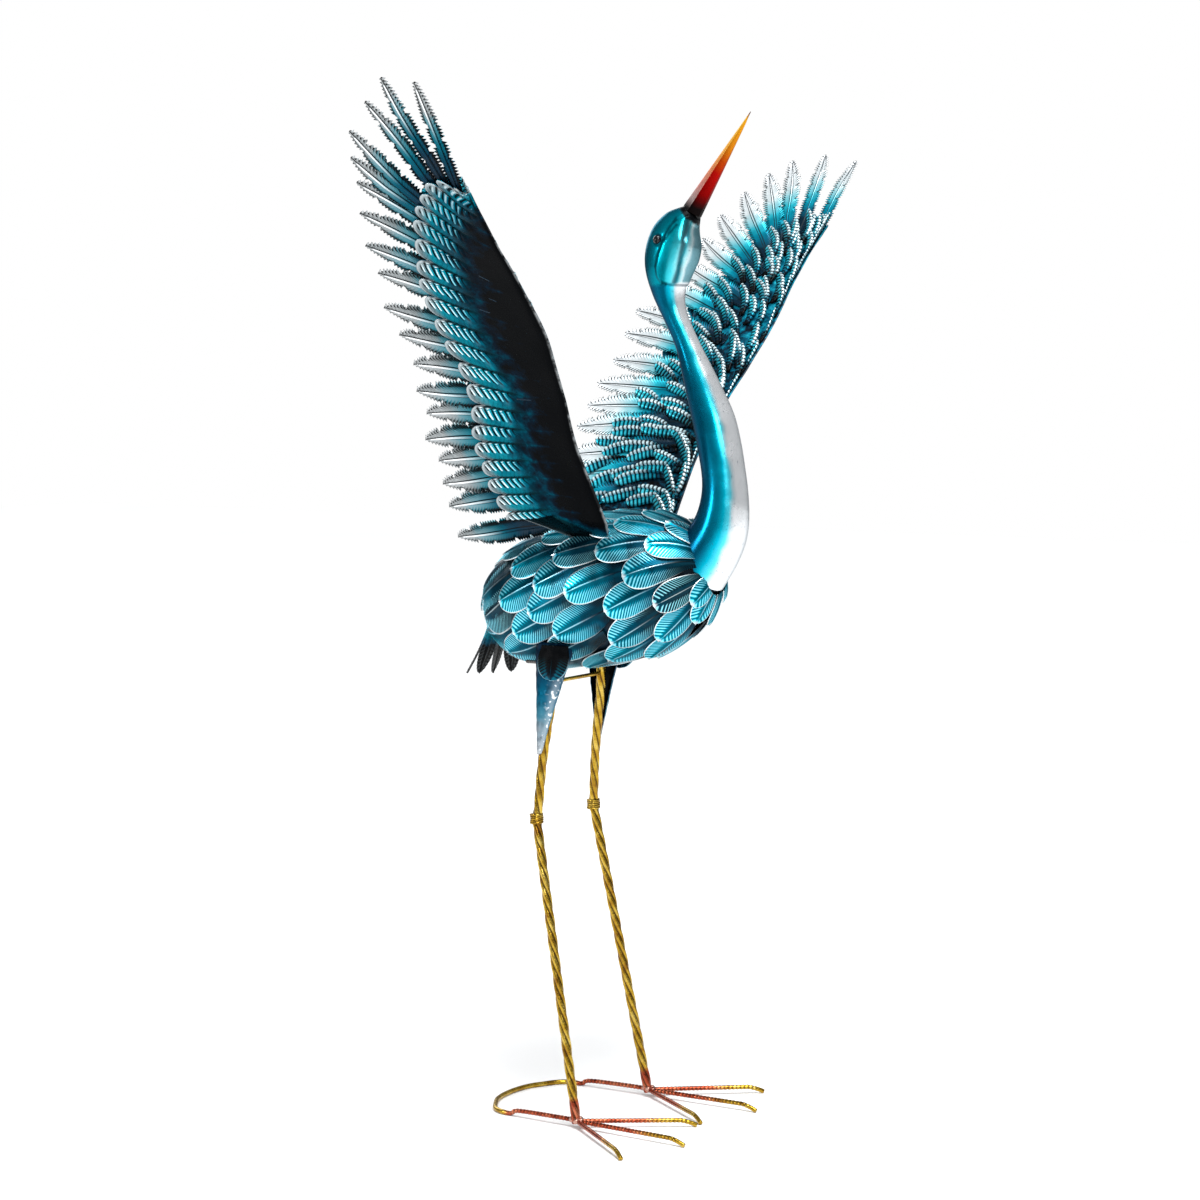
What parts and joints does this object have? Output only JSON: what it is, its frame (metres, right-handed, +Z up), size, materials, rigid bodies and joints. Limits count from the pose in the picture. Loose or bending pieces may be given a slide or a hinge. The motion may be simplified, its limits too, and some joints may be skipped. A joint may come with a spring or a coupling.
{
  "type": "crane figurine",
  "caption": "Standing crane of painted sheet steel with a raised S-curved neck, long bill and upswept feathered wings, on twisted bar legs and rod feet.",
  "frame": {"origin": "on the ground under the middle of the box round the whole bird", "axes": "+Z up, -Y ahead towards the bill, +X to the bird's left"},
  "size_m": [0.8918, 0.3334, 1.0602],
  "materials": {
    "shell_paint": "dark teal paint, gloss",
    "neck_paint": "teal to silver airbrushed metallic paint, clear coat",
    "eye_bead": "black gloss bead",
    "bill_paint": "black to orange and gold paint, clear coat",
    "feather_paint": "teal metallic paint with rubbed silver ridges",
    "wing_plate_paint": "black and teal metallic paint",
    "wing_feather_paint": "teal metallic paint with rubbed silver edges",
    "tail_paint": "black and teal paint",
    "gold_finish": "antique gold over dark grooves",
    "copper_finish": "copper red over gold",
    "thigh_paint": "blue to silver metallic paint outside, black inside",
    "thigh_feather_paint": "dark blue paint with a silver rim",
    "bolt_steel": "dark steel"
  },
  "bodies": {
    "root": {"body_shell": "shell_paint", "neck_and_head": "neck_paint", "eye_left": "eye_bead", "eye_right": "eye_bead", "bill": "bill_paint", "body_feathers_1": "feather_paint", "body_feathers_2": "feather_paint", "body_feathers_3": "feather_paint", "body_feathers_4": "feather_paint", "body_feathers_5": "feather_paint", "wing_plate_left": "wing_plate_paint", "wing_plate_right": "wing_plate_paint", "long_feathers_left": "wing_feather_paint", "long_feathers_right": "wing_feather_paint", "covert_feathers_1_left": "wing_feather_paint", "covert_feathers_1_right": "wing_feather_paint", "covert_feathers_2_left": "wing_feather_paint", "covert_feathers_2_right": "wing_feather_paint", "covert_feathers_3_left": "wing_feather_paint", "covert_feathers_3_right": "wing_feather_paint", "tail_feather_1": "tail_paint", "tail_feather_2": "tail_paint", "tail_feather_3": "tail_paint", "tail_feather_4": "tail_paint", "leg_left": "gold_finish", "leg_right": "gold_finish", "knee_wrap_left": "gold_finish", "knee_wrap_right": "gold_finish", "leg_brace": "gold_finish", "thigh_left": "thigh_paint", "thigh_right": "thigh_paint", "thigh_feather_left": "thigh_feather_paint", "thigh_feather_right": "thigh_feather_paint", "body_bolt_left": "bolt_steel", "body_bolt_right": "bolt_steel", "middle_toe_left": "copper_finish", "middle_toe_right": "copper_finish", "inner_toe_left": "copper_finish", "inner_toe_right": "copper_finish", "outer_toe_left": "copper_finish", "outer_toe_right": "copper_finish", "stand_loop": "gold_finish"}
  },
  "joints": []
}
